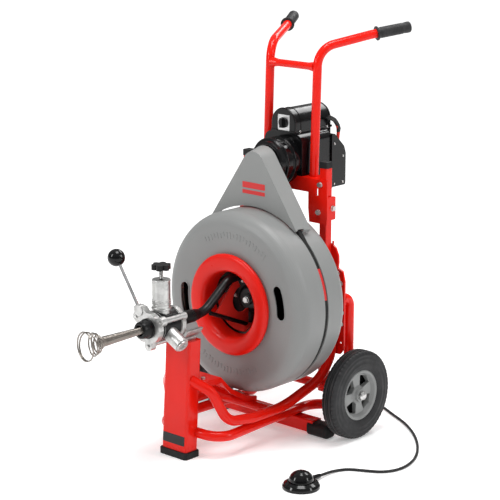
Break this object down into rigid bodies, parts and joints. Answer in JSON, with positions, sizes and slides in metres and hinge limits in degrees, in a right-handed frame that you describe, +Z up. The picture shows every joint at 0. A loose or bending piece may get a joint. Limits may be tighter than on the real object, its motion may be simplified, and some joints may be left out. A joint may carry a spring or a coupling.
{
  "type": "drum drain cleaning machine",
  "caption": "Wheeled drain cleaning machine: a motor-driven cable drum on a tubular frame, with a lever-operated cable feed at the front and a foot switch.",
  "frame": {"origin": "on the floor, under the middle of the machine's own box, the hose and foot switch left out", "axes": "+Z up, +X to the right seen from the cable nose's side, -Y towards the cable nose"},
  "size_m": [0.8325, 1.0798, 1.1464],
  "materials": {
    "frame_red": "gloss powder coat",
    "web_red": "gloss powder coat",
    "hook_red": "gloss powder coat",
    "black_rubber": "matte",
    "drum_grey": "satin, faint grain",
    "funnel_red": "satin gloss",
    "guard_grey": "satin, faint grain",
    "motor_black": "gloss",
    "black_steel": "satin",
    "steel": "zinc plated",
    "cable_steel": "oiled spring steel",
    "cast_aluminium": "cast",
    "black_plastic": "satin",
    "black_gloss": "gloss",
    "chrome": "polished",
    "belt_rubber": "matte",
    "grip_rubber": "matte, fine ribs",
    "tyre_rubber": "matte",
    "rim_grey": "satin",
    "hose_rubber": "satin"
  },
  "bodies": {
    "root": {"front_column": "frame_red", "lower_rail_right": "frame_red", "lower_rail_left": "frame_red", "upper_rail_right": "frame_red", "upper_rail_left": "frame_red", "cross_tubes": "frame_red", "drum_tray": "frame_red", "rubber_caps": "black_rubber", "masts": "frame_red", "gussets": "frame_red", "drum_support": "frame_red", "drum_spindle": "steel", "drive_belt": "belt_rubber", "feed_bracket": "cast_aluminium", "feed_housing": "cast_aluminium", "feed_caps": "cast_aluminium", "tension_spring": "steel", "axle": "steel", "frame_bolts": "steel", "foot_hose": "hose_rubber", "foot_switch_base": "black_gloss"},
    "drum": {"drum_front": "drum_grey", "drum_rear": "drum_grey", "drum_funnel": "funnel_red", "drum_hub": "black_steel", "drum_bearings": "steel", "stored_cable": "cable_steel"},
    "cable_guide": {"guide_tube": "black_steel", "guide_frame": "black_steel", "guide_web": "web_red"},
    "cable": {"drain_cable": "cable_steel", "cable_bulb": "cable_steel"},
    "lever": {"feed_ring": "cast_aluminium", "feed_nose": "black_plastic", "feed_lever": "chrome", "lever_ball": "black_gloss"},
    "roller_1": {"roller_carrier_1": "steel"},
    "roller_2": {"roller_carrier_2": "steel"},
    "roller_3": {"roller_carrier_3": "steel"},
    "tension_screw": {"tension_knob": "black_plastic"},
    "tension_nut": {"tension_plunger": "steel"},
    "carriage": {"motor_housing": "motor_black", "switch_housing": "motor_black", "rear_box": "motor_black", "cord_inlets": "black_rubber", "belt_guard": "guard_grey", "carriage_bracket": "frame_red", "handle_right": "frame_red", "handle_left": "frame_red", "handle_crossbar": "frame_red", "grips": "grip_rubber", "cord_hook": "hook_red", "carriage_bolts": "steel"},
    "pulley": {"drive_pulley": "steel"},
    "switch": {"switch_knob": "black_plastic"},
    "wheel_right": {"tyre_right": "tyre_rubber", "rim_right": "rim_grey"},
    "wheel_left": {"tyre_left": "tyre_rubber", "rim_left": "rim_grey"},
    "pedal": {"foot_dome": "black_gloss"}
  },
  "joints": [
    {"name": "drum_spin", "type": "hinge", "parent": "root", "child": "drum", "pos_m": [0, 0.12, 0.385], "axis": [0, 1, 0], "continuous": true},
    {"name": "guide_spin", "type": "hinge", "parent": "root", "child": "cable_guide", "pos_m": [0, 0.1, 0.385], "axis": [0, 1, 0], "continuous": true},
    {"name": "cable_feed", "type": "slide", "parent": "drum", "child": "cable", "axis": [0, -1, 0], "range_m": [0, 0.1]},
    {"name": "carriage_slide", "type": "slide", "parent": "root", "child": "carriage", "axis": [0, 0, 1], "range_m": [-0.003, 0.01], "deforming": ["drive_belt"]},
    {"name": "pulley_spin", "type": "hinge", "parent": "carriage", "child": "pulley", "pos_m": [0, 0.13, 0.765], "axis": [0, 1, 0], "continuous": true},
    {"name": "switch_turn", "type": "hinge", "parent": "carriage", "child": "switch", "pos_m": [0, 0.24, 0.87], "axis": [0, -1, 0], "range_deg": [-45, 45]},
    {"name": "wheel_spin_right", "type": "hinge", "parent": "root", "child": "wheel_right", "pos_m": [0.268, 0.248, 0.127], "axis": [1, 0, 0], "continuous": true},
    {"name": "wheel_spin_left", "type": "hinge", "parent": "root", "child": "wheel_left", "pos_m": [-0.268, 0.248, 0.127], "axis": [1, 0, 0], "continuous": true},
    {"name": "feed_lever_swing", "type": "hinge", "parent": "root", "child": "lever", "pos_m": [0, -0.293, 0.385], "axis": [0, 1, 0], "range_deg": [-18, 18]},
    {"name": "knob_turn", "type": "hinge", "parent": "root", "child": "tension_screw", "pos_m": [0, -0.25, 0.545], "axis": [0, 0, -1], "range_deg": [0, 720]},
    {"name": "plunger_slide", "type": "slide", "parent": "root", "child": "tension_nut", "axis": [0, 0, -1], "range_m": [0, 0.004], "deforming": ["tension_spring"]},
    {"name": "pedal_press", "type": "slide", "parent": "root", "child": "pedal", "axis": [0, 0, 1], "range_m": [-0.006, 0], "stiffness_N_per_m": 900, "springref_m": 0.004},
    {"name": "roller_tilt_1", "type": "hinge", "parent": "root", "child": "roller_1", "pos_m": [0, -0.25, 0.425], "axis": [0, 0, 1], "range_deg": [-18, 18]},
    {"name": "roller_tilt_2", "type": "hinge", "parent": "root", "child": "roller_2", "pos_m": [0.03464, -0.25, 0.365], "axis": [0.866, 0, -0.5], "range_deg": [-18, 18]},
    {"name": "roller_tilt_3", "type": "hinge", "parent": "root", "child": "roller_3", "pos_m": [-0.03464, -0.25, 0.365], "axis": [-0.866, 0, -0.5], "range_deg": [-18, 18]}
  ],
  "couplings": [
    {"joint": "pulley_spin", "follows": "drum_spin", "ratio": 8.9857},
    {"joint": "plunger_slide", "follows": "knob_turn", "m_per_rad": 0.00031831},
    {"joint": "roller_tilt_1", "follows": "feed_lever_swing", "ratio": 1},
    {"joint": "roller_tilt_2", "follows": "feed_lever_swing", "ratio": 1},
    {"joint": "roller_tilt_3", "follows": "feed_lever_swing", "ratio": 1}
  ]
}
